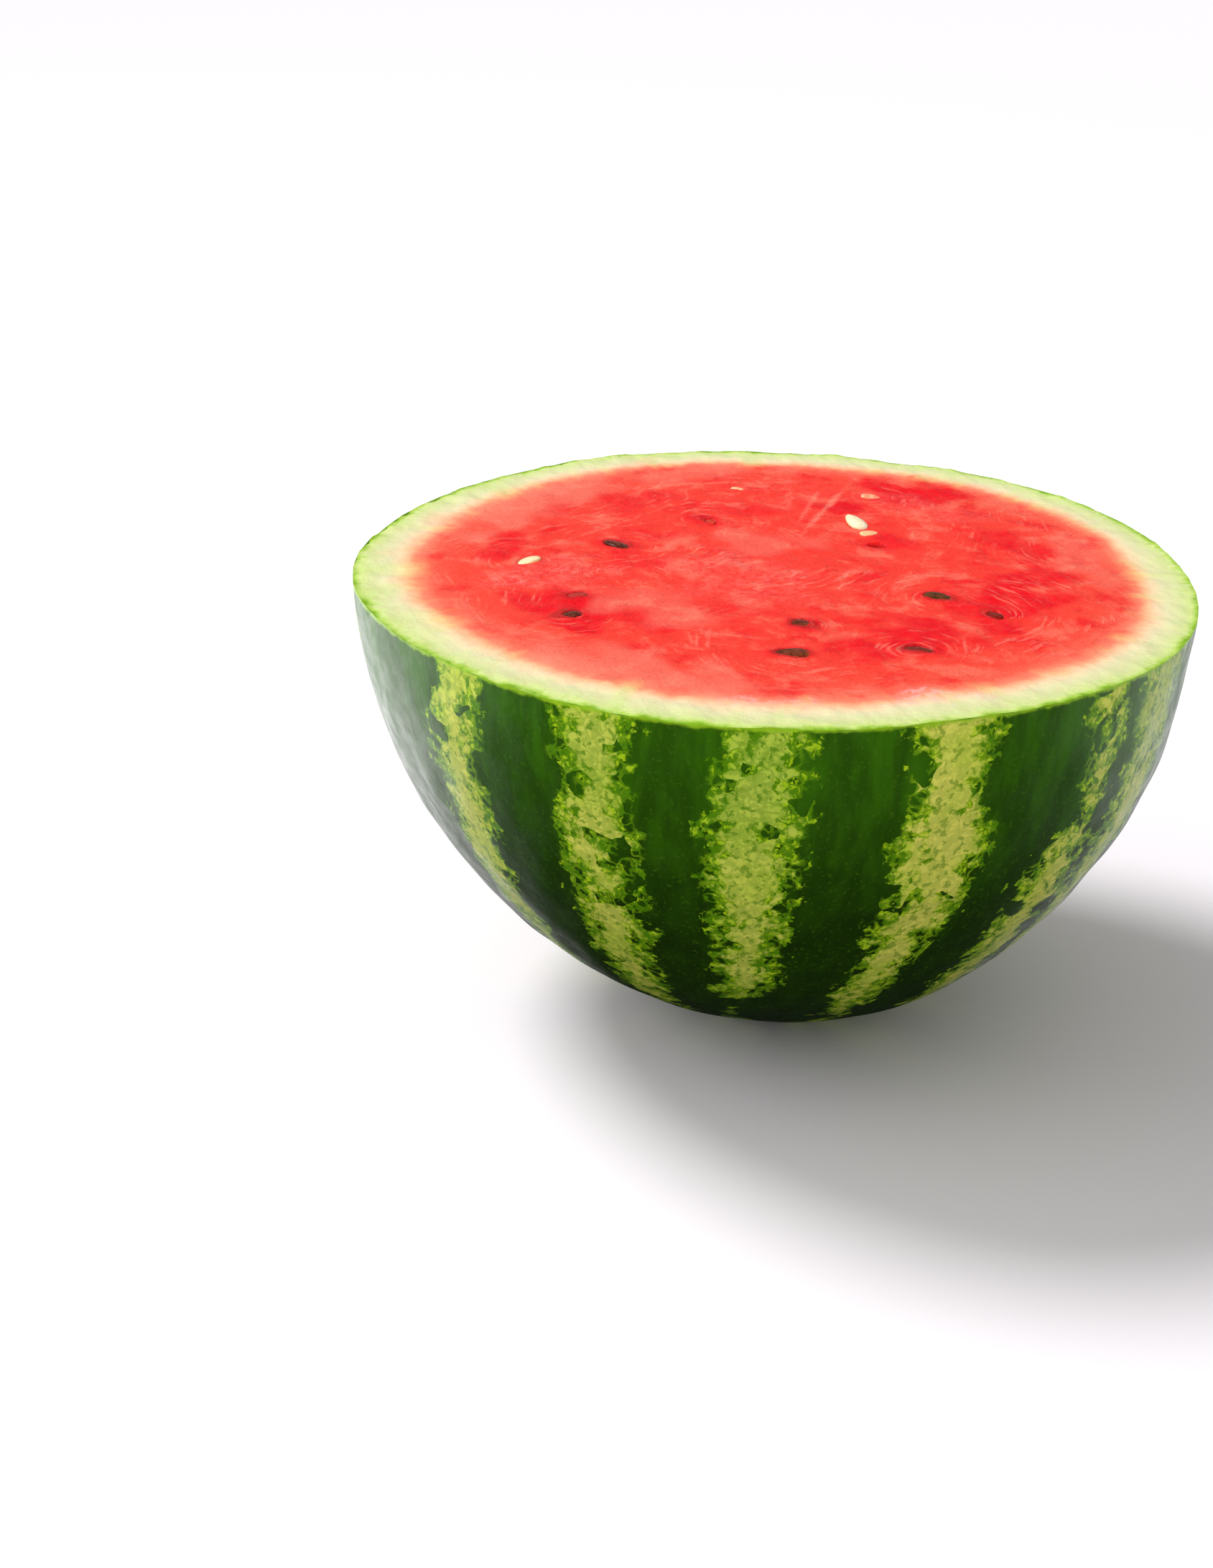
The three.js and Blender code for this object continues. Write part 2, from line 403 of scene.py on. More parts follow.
def cut_flesh():
    """The cut face, by depth under the skin: green edge, pale rind, then the red flesh."""
    g = Graph(bpy.data.materials.new("cut_flesh"))
    flat = g.vector("MULTIPLY", g.millimetres(), (1, 1, 0))
    from_middle = g.vector("SUBTRACT", flat, tuple(FACE_MIDDLE / MM * (1, 1, 0)))
    compass = g.vector("NORMALIZE", from_middle)
    depth = g.attribute("under_skin")
    marks = g.split(g.attribute("marks", "Color"))
    crimson, stain_and_pocket_shade, painted_sheen = marks[0], marks[1], marks[2]

    # Streaks that run from the skin inwards: noise that is fine round the compass, long inwards.
    inwards = g.node("CombineXYZ", {"Z": g.times(depth, 0.07)}).outputs[0]
    spokes_place = g.vector("ADD", g.vector("MULTIPLY", compass, (26, 26, 0)), inwards)
    spokes = g.noise(spokes_place, 1.0, detail=3.0, rough=0.6)

    ragged = g.add(
        depth,
        g.swing(flat, 14, 2.4),
        g.swing(flat, 3.5, 0.7, detail=3.0),
        g.times(g.math("SUBTRACT", spokes, 0.5), 3.0),
    )
    zones = g.ramp(
        g.times(ragged, 1 / 50),
        (0.000, srgb(124, 172, 28)),
        (0.018, srgb(168, 204, 78)),
        (0.045, srgb(208, 224, 140)),
        (0.100, srgb(216, 222, 158)),
        (0.190, srgb(228, 222, 174)),
        (0.250, srgb(244, 214, 172)),
        (0.305, srgb(254, 184, 140)),
        (0.360, srgb(255, 132, 102)),
        (0.440, srgb(254, 96, 74)),
        (0.600, srgb(252, 70, 52)),
        (1.000, srgb(250, 58, 44)),
    )

    # The red flesh: wet grains, soft pale and crimson clouds, and pale fibres round the seeds.
    red = g.step(ragged, 15, 24)
    clouds = g.noise(g.warped(flat, 22, 9), 17, detail=4.0, rough=0.6)
    deep = g.math("MAXIMUM", crimson, g.step(clouds, 0.50, 0.66, top=0.70))
    broken = g.times(g.swing(flat, 6, 0.8, detail=4.0, rough=0.6), g.add(0.4, crimson))
    deep = g.times(g.add(deep, broken), red, clamp=True)
    colour = g.mix(deep, zones, srgb(234, 0, 22))

    pale_clouds = g.step(g.noise(g.warped(flat, 30, 12), 13, detail=5.0, rough=0.65), 0.48, 0.66)
    pale_clouds = g.times(pale_clouds, g.step(crimson, 0.0, 0.8, bottom=0.55, top=0.1))
    colour = g.mix(g.times(pale_clouds, red), colour, srgb(255, 122, 98))

    curl = g.node("CombineXYZ", {"Z": g.times(g.attribute("halo"), 0.9)}).outputs[0]
    fibre_place = g.vector("ADD", g.vector("MULTIPLY", g.warped(flat, 26, 7), (0.1, 0.1, 0)), curl)
    fibres = g.noise(fibre_place, 1.0)
    threads = g.step(fibres, 0.56, 0.66)
    thread_area = g.step(g.noise(flat, 24), 0.42, 0.62)
    threads = g.times(g.times(threads, thread_area), red)
    threads = g.math("MAXIMUM", g.times(threads, 0.32), g.attribute("marks", "Alpha"))
    colour = g.mix(threads, colour, srgb(255, 156, 132))

    grains = g.noise(flat, 1.5, detail=3.0, rough=0.65)
    grain_light = g.step(grains, 0.30, 0.72, bottom=0.88, top=1.09)
    colour = g.mix(g.times(red, 0.9), colour, g.grey(grain_light), blend="MULTIPLY")

    # Painted highlight: a pale pink sheen painted into the flesh's colour, broken up by fine noise.
    painted_sheen_spots = g.times(painted_sheen, g.step(g.noise(flat, 3.0, detail=4.0, rough=0.7), 0.36, 0.66))
    colour = g.mix(g.times(painted_sheen_spots, 0.75), colour, srgb(255, 190, 184))
    # Brown where buried seeds show through the flesh, and painted shade in the empty pocket's hollow.
    colour = g.mix(stain_and_pocket_shade, colour, srgb(112, 24, 18))

    # Green veins in the rind that taper inwards from the skin.
    veins = g.step(g.noise(spokes_place, 0.55, detail=1.0), 0.58, 0.70)
    near_skin = g.step(depth, 0.5, 5.5, bottom=1.0, top=0.0)
    colour = g.mix(g.times(g.times(veins, near_skin), 0.7), colour, srgb(162, 200, 70))
    rind = g.math("SUBTRACT", 1.0, red)
    rind_clouds = g.step(g.noise(spokes_place, 2.2, detail=3.0), 0.45, 0.75)
    colour = g.mix(g.times(g.times(rind_clouds, rind), 0.45), colour, srgb(206, 226, 132))

    wet = g.noise(flat, 2.4, detail=3.0, rough=0.6)
    roughness = g.step(wet, 0.25, 0.75, bottom=0.34, top=0.52)
    normal = g.bump(g.noise(flat, 6.0, detail=3.0), 0.9 * MM, 0.5)
    normal = g.bump(grains, 0.55 * MM, g.step(red, 0.0, 1.0, bottom=0.25, top=0.8), over=normal)
    return g.finish(
        colour, roughness, specular=0.11, normal=normal,
        Subsurface_Weight=0.2, Subsurface_Radius=(1.0, 0.30, 0.22), Subsurface_Scale=4 * MM,
    )


def striped_skin():
    """Waxy skin: dark green bands, pale stripes that break up into cells at their edges, and painted
    shade low down.
    """
    g = Graph(bpy.data.materials.new("striped_skin"))
    place = g.millimetres()
    into_stripe = g.attribute("into_stripe")
    end_scar = g.attribute("end_scar")
    height = g.node("SeparateXYZ", {0: place}).outputs["Z"]
    low_down = g.step(height, HALF_HEIGHT / MM - 75, HALF_HEIGHT / MM - 2, bottom=1.0, top=0.0)
    green = g.times(g.attribute("stripe_green"), g.step(low_down, 0.0, 0.8, bottom=1.0, top=0.4))

    # Whole cells join the stripe or stay out of it, and near its edge their outlines are pale.
    net_place = g.warped(g.warped(place, 8, 2.4), 2.4, 1.5)
    cells = g.split(g.cells(net_place, 3.3, "Color"))
    outline = g.cells(net_place, 3.3, "Distance", feature="DISTANCE_TO_EDGE")
    outline = g.step(outline, 0.04, 0.17, bottom=1.0, top=0.0)
    wide_cells = g.split(g.cells(g.warped(place, 7, 2.2), 7.0, "Color"))
    small_cells = g.split(g.cells(g.warped(place, 2.0, 0.7), 1.5, "Color"))
    near = g.add(
        into_stripe,
        g.swing(place, 24, 2.6, detail=2.0),
        g.swing(place, 7, 3.0, detail=3.0, rough=0.55),
        g.times(g.math("SUBTRACT", wide_cells[0], 0.5), 4.0),
    )
    hole = g.math("GREATER_THAN", g.add(wide_cells[1], g.times(green, 0.06)), 0.91)
    near = g.math("SUBTRACT", near, g.times(hole, 6.0))
    edge = g.add(
        near,
        g.times(g.math("SUBTRACT", cells[0], 0.5), 8.0),
        g.times(g.math("SUBTRACT", small_cells[0], 0.5), 2.8),
    )
    lace = g.times(outline, g.step(near, -2.8, -0.4, top=0.9))
    pale = g.math("MAXIMUM", g.step(edge, -0.5, 0.5), lace)

    # The stripes are yellow-green at their edges and creamier inside, with small green flecks.
    core = g.step(edge, 1.0, 6.5)
    mottle = g.step(g.noise(place, 3.0, detail=3.0, rough=0.6), 0.45, 0.57)
    flecks = g.step(g.noise(place, 2.2, detail=2.0), 0.55, 0.62)
    spotted = g.math("MAXIMUM", mottle, g.times(outline, 0.7))
    cover = g.times(spotted, g.step(core, 0, 1, bottom=0.92, top=0.28))
    cover = g.math("MAXIMUM", cover, g.times(flecks, g.step(core, 0, 1, bottom=0.9, top=0.60)))
    warmth = g.step(g.noise(place, 16, detail=2.0), 0.35, 0.65)
    core_colour = g.mix(warmth, srgb(218, 228, 84), srgb(238, 232, 104))
    core_colour = g.mix(g.times(green, 0.7), core_colour, srgb(168, 206, 62))
    pale_colour = g.mix(core, srgb(178, 214, 20), core_colour)
    cover = g.add(cover, g.times(g.times(outline, green), 0.20))
    cover = g.math("MINIMUM", g.add(cover, g.times(green, 0.16)), 0.95)
    pale_colour = g.mix(cover, pale_colour, srgb(78, 134, 0))

    streaks = g.noise(g.vector("MULTIPLY", place, (1, 1, 0.22)), 6.0, detail=3.0, rough=0.6)
    dark_colour = g.mix(g.step(streaks, 0.35, 0.70), srgb(42, 84, 0), srgb(56, 108, 0))
    # Painted shade: the dark green is darkened towards the bottom of the skin, where shade falls.
    dark_colour = g.mix(g.times(low_down, 0.7), dark_colour, srgb(16, 32, 0))
    dark_flecks = g.step(g.noise(place, 1.2, detail=2.0), 0.58, 0.70, top=0.35)
    dark_colour = g.mix(dark_flecks, dark_colour, srgb(76, 118, 14))

    colour = g.mix(pale, dark_colour, pale_colour)
    # A thin line of bright green just under the rim, where the knife has bared the rind.
    under_rim = g.math("SUBTRACT", HALF_HEIGHT / MM, g.add(height, g.swing(place, 4, 1.2)))
    at_rim = g.step(under_rim, 0.1, 1.3, bottom=0.85, top=0.0)
    colour = g.mix(at_rim, colour, srgb(156, 202, 32))
    colour = g.mix(end_scar, colour, srgb(128, 104, 62))

    roughness = g.step(g.noise(place, 5, detail=3.0), 0.3, 0.7, bottom=0.26, top=0.38)
    normal = g.bump(g.noise(place, 11, detail=2.0), 0.7 * MM, 0.35)
    normal = g.bump(g.noise(place, 1.6, detail=2.0), 0.12 * MM, 0.5, over=normal)
    return g.finish(colour, roughness, specular=0.3, normal=normal)


def seed_coat(name, face, edge, spots, specular):
    """A seed's coat: its own colour, a darker margin, small spots and the film that covers it."""
    g = Graph(bpy.data.materials.new(name))
    place = g.millimetres()
    margin = g.attribute("margin")
    film = g.attribute("film", "Color")
    film_share = g.attribute("film", "Alpha")
    mottle = g.step(g.noise(place, 1.8, detail=4.0, rough=0.7), 0.42, 0.60)
    colour = g.mix(g.times(mottle, 0.85), srgb(*face), srgb(*spots))
    colour = g.mix(g.times(margin, 0.8), colour, srgb(*edge))
    film_share = g.times(film_share, g.step(g.noise(place, 2.2, detail=3.0), 0.38, 0.58, 0.7, 1.0))
    colour = g.mix(film_share, colour, film)
    roughness = g.step(g.noise(place, 1.0), 0.3, 0.7, bottom=0.10, top=0.28)
    normal = g.bump(g.noise(place, 0.7, detail=3.0), 0.12 * MM, 0.5)
    return g.finish(colour, roughness, specular=specular, normal=normal)


def floor_finish():
    """A pale table, which lights the melon and mirrors in it by amounts of their own."""
    g = Graph(bpy.data.materials.new("pale_floor"))
    flat = g.vector("MULTIPLY", g.node("TexCoord").outputs["Object"], (1, 1, 0))
    way = g.node("SeparateXYZ", {0: g.vector("NORMALIZE", flat)}).outputs
    reach = g.node("VectorMath", {0: flat}, operation="LENGTH").outputs["Value"]
    shaded = g.step(reach, 0.05, 0.30, bottom=0.25)
    left = g.times(g.step(way["X"], -0.85, -0.15, 1.0, 0.0), g.step(way["Y"], -0.45, 0.20))
    right = g.times(g.step(way["X"], 0.20, 0.80), g.step(way["Y"], -0.60, 0.10))
    in_front, at_left, at_right = FLOOR_MIRROR
    mirrored = g.add(in_front, g.times(left, at_left), g.times(right, at_right))
    mirrored = g.times(mirrored, g.step(reach, 0.05, 0.28, bottom=0.30))
    lighting = g.times(shaded, g.step(way["Y"], -0.7, 0.5, *FLOOR_LIGHT))
    path = g.node("LightPath").outputs
    seen = g.node("BsdfDiffuse", {"Color": FLOOR_COLOUR}).outputs[0]
    other = g.node("Emission", {"Strength": lighting}).outputs[0]
    mirror = g.node("Emission", {"Strength": mirrored}).outputs[0]
    other = g.blend(path["Is Glossy Ray"], other, mirror)
    floor = g.output(g.blend(path["Is Camera Ray"], other, seen))
    floor.cycles.emission_sampling = "NONE"
    return floor


# ---------------------------------------------------------------- seeds

class Seed:
    """A CAD seed's middle, axes and half sizes, measured on its solid.

    The axes are its length, towards the narrow end, its width and its thickness, upwards."""

    def __init__(self, name):
        self.name = name
        self.kind = name.split("_")[0]
        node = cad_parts[name]
        places = np.array([corner.co for corner in node.data.vertices])
        axes = np.linalg.svd(places - places.mean(0), full_matrices=False)[2]
        along = places @ axes.T
        self.middle = (along.max(0) + along.min(0)) / 2 @ axes
        away = along - (along.max(0) + along.min(0)) / 2
        self.half = away.max(0)
        if np.sum(np.abs(away[:, 1]) * away[:, 0]) > 0:
            axes[0] = -axes[0]
        if axes[2][2] < 0:
            axes[2] = -axes[2]
        axes[1] = np.cross(axes[2], axes[0])
        self.axes = axes

    def depth_range(self, x, y, grow):
        """Lowest and highest z of the grown seed over each point, and where it has none, nan."""
        half = self.half + grow
        offset = np.stack([x - self.middle[0], y - self.middle[1], np.zeros(len(x))], 1)
        level = offset @ self.axes.T
        narrowing = 1 - SEED_TAPER * np.clip(level[:, 0] / half[0], -1, 1)
        scale = np.stack([np.full(len(x), half[0]), half[1] * narrowing, half[2] * narrowing], 1)
        start = level / scale
        way = self.axes[:, 2] / scale
        square = (way**2).sum(1)
        cross = (start * way).sum(1)
        rest = (start**2).sum(1) - 1
        inner = cross**2 - square * rest
        root = np.sqrt(np.where(inner > 0, inner, np.nan))
        middle = self.middle[2] - cross / square
        return middle - root / square, middle + root / square

    def gap(self, x, y):
        """Roughly how far each point of the face is outside the seed's outline."""
        offset = np.stack([x - self.middle[0], y - self.middle[1]], 1)
        across = offset @ self.axes[:2, :2].T
        share = np.hypot(across[:, 0] / self.half[0], across[:, 1] / self.half[1])
        reach = np.hypot(across[:, 0], across[:, 1])
        return reach - reach / np.maximum(share, 1e-6)


seeds = [Seed(name) for name in sorted(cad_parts) if "_seed_" in name]


def seed_shape():
    """A flattened seed of half size 1, narrow end at +X, and how much of a margin each point is."""
    rows = np.linspace(0, math.pi, SEED_ROWS + 1)[1:-1]
    sides = np.linspace(0, 2 * math.pi, SEED_SIDES, endpoint=False)
    row, side = (grid.ravel() for grid in np.meshgrid(rows, sides, indexing="ij"))
    width = np.sin(row) ** 0.86 * (1 + SEED_TAPER * np.cos(row)) / 1.03
    flank = np.abs(np.sin(side))
    margin = np.exp(-((flank / 0.30) ** 2)) * np.sin(row)
    length_place = -np.cos(row)
    width_place = width * np.cos(side)
    thick = width * np.sign(np.sin(side)) * flank**0.8
    # The faces dip just inside the margin, and swell again along the middle.
    groove = 1 - 0.16 * np.exp(-(((np.abs(np.cos(side)) - 0.80) / 0.12) ** 2))
    # Two dimples on either side of the narrow tip.
    tip = np.exp(-(((length_place - 0.86) / 0.07) ** 2))
    dimple = 1 - 0.35 * tip * np.exp(-(((np.abs(np.cos(side)) - 0.45) / 0.3) ** 2))
    shape = np.stack([length_place, width_place, thick * groove * dimple], 1)
    ends = np.array([[-1.0, 0, 0], [1.0, 0, 0]])
    return np.concatenate([shape, ends]), np.append(margin, [0.3, 1.0])


def seed_faces():
    """Quads between the rows of a seed's points, and a fan of triangles round each end."""
    row_count = SEED_ROWS - 1
    blunt = row_count * SEED_SIDES
    narrow = blunt + 1
    last = blunt - SEED_SIDES
    faces = []
    for k in range(SEED_SIDES):
        after = (k + 1) % SEED_SIDES
        faces.append((blunt, after, k))
        faces.append((narrow, last + k, last + after))
        for j in range(row_count - 1):
            here, there = j * SEED_SIDES, (j + 1) * SEED_SIDES
            faces.append((here + k, here + after, there + after, there + k))
    return faces


def build_seed(seed, finish):
    """A seed's coat, with the shades that its material reads."""
    shape, margin = seed_shape()
    places = seed.middle + shape * seed.half @ seed.axes
    mesh = bpy.data.meshes.new(seed.name + "_coat")
    mesh.from_pydata(places.tolist(), [], seed_faces())
    mesh.shade_smooth()
    mesh.materials.append(finish)
    set_values(mesh, "margin", margin)
    colour, share = SEED_FILMS.get(seed.name, ((0, 0, 0), 0.0))
    film = np.tile([*srgb(*colour)[:3], share], (len(places), 1))
    if seed.kind == "dark":
        film[:, 3] += (0.9 - share) * smooth_step(np.abs(shape[:, 0]), 0.60, 0.88)
    set_colours(mesh, "film", film)
    return mesh


# ---------------------------------------------------------------- melon

def roundness(angle):
    """Radius of the fruit over its mean radius, round the compass."""
    lobes = LOBE_HEIGHT * np.cos(LOBE_COUNT * (angle - LOBE_ANGLE))
    return 1 + (SIDE_SWELL * np.cos(angle) + lobes) / FACE_RADIUS


def skin_place(angle, turn):
    """The smooth skin, turn going from 0 at the rim to END_TURN at the flat spot."""
    reach = FACE_RADIUS * np.cos(turn) ** PROFILE_POWER * roundness(angle)
    share = (np.sin(turn) / math.sin(END_TURN)) ** PROFILE_POWER
    x = reach * np.cos(angle) - END_LEAN * (1 - share**2)
    return np.stack([x, reach * np.sin(angle), HALF_HEIGHT * (1 - share)], -1)


def hexagons(spacing, reach, rng):
    """A slightly uneven hexagonal grid of points over a square of half side reach."""
    row_gap = spacing * math.sqrt(3) / 2
    rows = np.arange(-reach, reach, row_gap)
    columns = np.arange(-reach, reach, spacing)
    x, y = np.meshgrid(columns, rows)
    x[1::2] += spacing / 2
    points = np.stack([x.ravel(), y.ravel()], 1)
    return points + rng.uniform(-0.08, 0.08, points.shape) * spacing


def fill_loop(loop, inner):
    """Triangles over the inner points and the closed loop round them, as indices of both."""
    points = np.concatenate([loop, inner]) / MM
    count = len(loop)
    edges = [(i, (i + 1) % count) for i in range(count)]
    found = geometry.delaunay_2d_cdt([Vector(p) for p in points], edges, [], 1, 1e-6, False)
    return [tuple(face) for face in found[2]]


def gap_to_seeds(points):
    return np.min([seed.gap(points[:, 0], points[:, 1]) for seed in seeds], 0)


def face_grid(rng):
    """Points of the cut face inside its rim, finer round the seeds and the pocket."""
    span = FACE_RADIUS * 1.03
    pocket = on_face(*POCKET_PLACE)[:2]

    def gap(points):
        to_pocket = np.linalg.norm(points - pocket, axis=1) - POCKET_HALF[0]
        return np.minimum(gap_to_seeds(points), to_pocket)

    coarse = hexagons(FACE_SPACING, span, rng) + FACE_MIDDLE[:2]
    coarse = coarse[gap(coarse) > FINE_REACH]
    fine = hexagons(FINE_SPACING, span, rng) + FACE_MIDDLE[:2]
    fine = fine[gap(fine) <= FINE_REACH]
    points = np.concatenate([coarse, fine])
    return points[rim_gap(points) > 0.7 * FACE_SPACING]


def rim_gap(points):
    """How far each point of the face is from the skin, towards the nearest part of the rim."""
    away = points - FACE_MIDDLE[:2]
    angle = np.arctan2(away[:, 1], away[:, 0])
    return FACE_RADIUS * roundness(angle) - np.linalg.norm(away, axis=1)


def pocket_share(x, y):
    """How far each point of the face is from the pocket's middle, as a share of its half size."""
    pocket = on_face(*POCKET_PLACE)
    return np.hypot((x - pocket[0]) / POCKET_HALF[0], (y - pocket[1]) / POCKET_HALF[1])


def face_relief(points, rng):
    """Height of the cut flesh over the flat face, seed sockets and pocket included."""
    x, y = points[:, 0], points[:, 1]
    height = relief(points, FACE_RELIEF, rng)
    strokes = points @ np.array([math.cos(STROKE_ANGLE), math.sin(STROKE_ANGLE)])
    wander = 0.8 * ripples(points, 40 * MM, rng)
    height += STROKE_HEIGHT * np.sin(strokes / STROKE_LENGTH + wander)
    for seed in seeds:
        gap = np.maximum(seed.gap(x, y), 0)
        height += SEED_LIPS[seed.kind] * np.exp(-((gap / LIP_REACH) ** 2))
        low, high = seed.depth_range(x, y, SOCKET_GAP)
        showing = high > HALF_HEIGHT + height
        height = np.where(showing, np.minimum(height, low - HALF_HEIGHT), height)
    across = pocket_share(x, y)
    hollow = POCKET_HALF[2] * np.sqrt(np.clip(1 - across**2, 0, 1))
    return np.where(across < 1, np.minimum(height, -hollow), height)


def rim_wear(rim, angles, rng):
    """How far the rim is worn down at each of its points: low ripples and a few nicks."""
    wear = relief(rim, [RIM_RIPPLE], rng)
    for azimuth, half_width, depth in RIM_NICKS:
        away = (np.degrees(angles) - azimuth + 180) % 360 - 180
        across = np.radians(away) * FACE_RADIUS / (half_width * MM)
        wear += depth * MM * np.exp(-across**2)
    return wear


def patches(points, rows, rng):
    """Soft-edged ellipses laid on the face, lengthwise round the compass."""
    away = points - FACE_MIDDLE[:2]
    wobble = 0.22 * ripples(points, 9 * MM, rng)
    total = np.zeros(len(points))
    for reach, angle, around, inwards, strength in rows:
        turn = math.radians(angle)
        out = np.array([math.cos(turn), math.sin(turn)])
        side = np.array([-out[1], out[0]])
        offset = away - out * reach * FACE_RADIUS
        share = np.hypot(offset @ side / (around * MM), offset @ out / (inwards * MM))
        total = np.maximum(total, strength * (1 - smooth_step(share + wobble, 0.50, 1.30)))
    return total


def marks_and_painted_light_on_face(points, rng):
    """Crimson, brown stain with painted shade in the pocket, painted highlight and pale streaks on the
    face, each from 0 to 1.
    """
    x, y = points[:, 0], points[:, 1]
    crimson = patches(points, CRIMSON_CLOUDS, rng)
    painted_sheen = patches(points, PAINTED_SHEEN_PATCHES, rng)
    stain_and_pocket_shade = np.zeros(len(points))
    for seed in seeds:
        gap = np.maximum(seed.gap(x, y), 0)
        if seed.kind != "pale":
            crimson = np.maximum(crimson, 0.75 * np.exp(-((gap / (2.6 * MM)) ** 2)))
            low, high = seed.depth_range(x, y, 0.4 * MM)
            cover = HALF_HEIGHT - high
            seen = np.where(np.isnan(cover), 0, np.exp(-np.maximum(cover, 0) / (0.9 * MM)))
            stain_and_pocket_shade = np.maximum(stain_and_pocket_shade, (0.45 if seed.kind == "dark" else 0.3) * seen)
    # Painted shade: the empty pocket's hollow is darkened with brown stain and deep crimson.
    across = pocket_share(x, y)
    stain_and_pocket_shade = np.maximum(stain_and_pocket_shade, 0.5 * (1 - smooth_step(across, 0.7, 1.15)))
    crimson = np.maximum(crimson, 1 - smooth_step(across, 0.9, 2.0))
    streaks = patches(points, PALE_STREAKS, rng)
    return np.stack([crimson, stain_and_pocket_shade, painted_sheen, streaks], 1)


def stripe_depth(angle, turn):
    """How far each point of the skin is inside a pale stripe, in mm, and how green that one is."""
    last = NEAR_STRIPES[-1][0][1]
    gap = (FAR_STRIPE_END - last) / FAR_STRIPE_COUNT
    stripes = list(NEAR_STRIPES)
    for k in range(1, FAR_STRIPE_COUNT + 1):
        azimuth = last + k * gap + 2 * math.sin(5 * k)
        width = FAR_STRIPE_WIDTH + 2 * math.sin(3 * k)
        stripes.append([(0, azimuth, width), (80, azimuth + FAR_STRIPE_TWIST, width)])
    around = FACE_RADIUS / MM * np.cos(turn) ** PROFILE_POWER
    down = np.degrees(turn)
    best = np.full(angle.shape, -1e3)
    green = np.zeros(angle.shape)
    for number, stripe in enumerate(stripes):
        turns, azimuths, widths = zip(*stripe)
        away = np.degrees(angle) - np.interp(down, turns, azimuths)
        away = (away + 180) % 360 - 180
        width = np.interp(down, turns, widths)
        inside = np.radians(width / 2 - np.abs(away)) * around
        if number < len(STRIPE_GREENS):
            amount = STRIPE_GREENS[number]
        else:
            amount = 0.5 + 0.4 * math.sin(7 * number)
        green = np.where(inside > best, amount, green)
        best = np.maximum(best, inside)
    return best, green


def worn_rim(ring, angles, rng):
    """The rim seen from above, drawn in where it is worn, and how deep the wear is."""
    wear = rim_wear(ring, angles, rng)
    shrink = 1 - RIM_SHRINK * wear / FACE_RADIUS
    return FACE_MIDDLE[:2] + (ring - FACE_MIDDLE[:2]) * shrink[:, None], wear


def bumpy_skin(rings, ring_turn, rng):
    """The skin below the rim, with low bumps that fade out at the rim and at the flat spot."""
    points = rings[1:].reshape(-1, 3)
    turn = ring_turn[1:].ravel()
    outwards = points - (FACE_MIDDLE[0] * 0.5, 0, HALF_HEIGHT)
    outwards /= np.linalg.norm(outwards, axis=1)[:, None]
    bumps = relief(points, SKIN_RELIEF, rng) - SKIN_SINK
    fade = smooth_step(turn, 0, 0.15) * (1 - smooth_step(turn, END_TURN * 0.9, END_TURN))
    return points + outwards * (bumps * fade)[:, None]


def resting_spot(rng):
    """Points inside the flat spot, with the blossom scar as a shallow dimple in its middle."""
    spot = hexagons(SPOT_SPACING, RESTING_RADIUS, rng)
    spot = spot[np.linalg.norm(spot, axis=1) < RESTING_RADIUS - SPOT_SPACING]
    scar = 1 - smooth_step(np.linalg.norm(spot, axis=1), *SCAR_REACH)
    return np.column_stack([spot, SCAR_DEPTH * scar])


def ring_index(ring, k, skin_start):
    """A ring's k-th point. The rim is the first of the face's points, and the others follow them."""
    first = 0 if ring == 0 else skin_start + (ring - 1) * RIM_POINTS
    return first + k % RIM_POINTS


def skin_faces(skin_start):
    """Quads between the skin's rings, from the rim down."""
    faces = []
    for ring in range(SKIN_RINGS):
        for k in range(RIM_POINTS):
            faces.append((
                ring_index(ring, k + 1, skin_start),
                ring_index(ring, k, skin_start),
                ring_index(ring + 1, k, skin_start),
                ring_index(ring + 1, k + 1, skin_start),
            ))
    return faces


def spot_faces(loop, spot, skin_start):
    """Triangles over the flat spot, inside the last ring."""
    spot_start = skin_start + SKIN_RINGS * RIM_POINTS

    def index(i):
        return ring_index(SKIN_RINGS, i, skin_start) if i < RIM_POINTS else spot_start + i - RIM_POINTS

    return [tuple(index(i) for i in reversed(face)) for face in fill_loop(loop, spot)]


def join_melon(places, faces, flesh_faces, flesh, skin):
    """The closed mesh, with its two materials and a sharp edge round the rim."""
    mesh = bpy.data.meshes.new("melon_body")
    mesh.from_pydata(places.tolist(), [], faces)
    mesh.materials.append(flesh)
    mesh.materials.append(skin)
    kinds = np.ones(len(faces), np.int32)
    kinds[:flesh_faces] = 0
    mesh.polygons.foreach_set("material_index", kinds)
    mesh.shade_smooth()
    ends = np.zeros(len(mesh.edges) * 2, np.int32)
    mesh.edges.foreach_get("vertices", ends)
    sharp = mesh.attributes.new("sharp_edge", "BOOLEAN", "EDGE")
    sharp.data.foreach_set("value", (ends.reshape(-1, 2) < RIM_POINTS).all(1))
    return mesh


def shade_face(mesh, points, rng):
    """What the flesh's material reads: depth under the skin, distance to the seeds, and marks with
    painted highlight and shade.
    """
    away = points - FACE_MIDDLE[:2]
    around = np.arctan2(away[:, 1], away[:, 0])
    average, more_x, more_y = RIND_THICKNESS
    thickness = average + more_x * np.cos(around) + more_y * np.sin(around)
    set_values(mesh, "under_skin", rim_gap(points) / MM * RIND_DEPTH / thickness)
    nearness = np.sum([np.exp(-seed_reach(seed, points) / HALO_SIZE) for seed in seeds], 0)
    set_values(mesh, "halo", -HALO_SIZE * np.log(nearness))
    set_colours(mesh, "marks", marks_and_painted_light_on_face(points, rng))


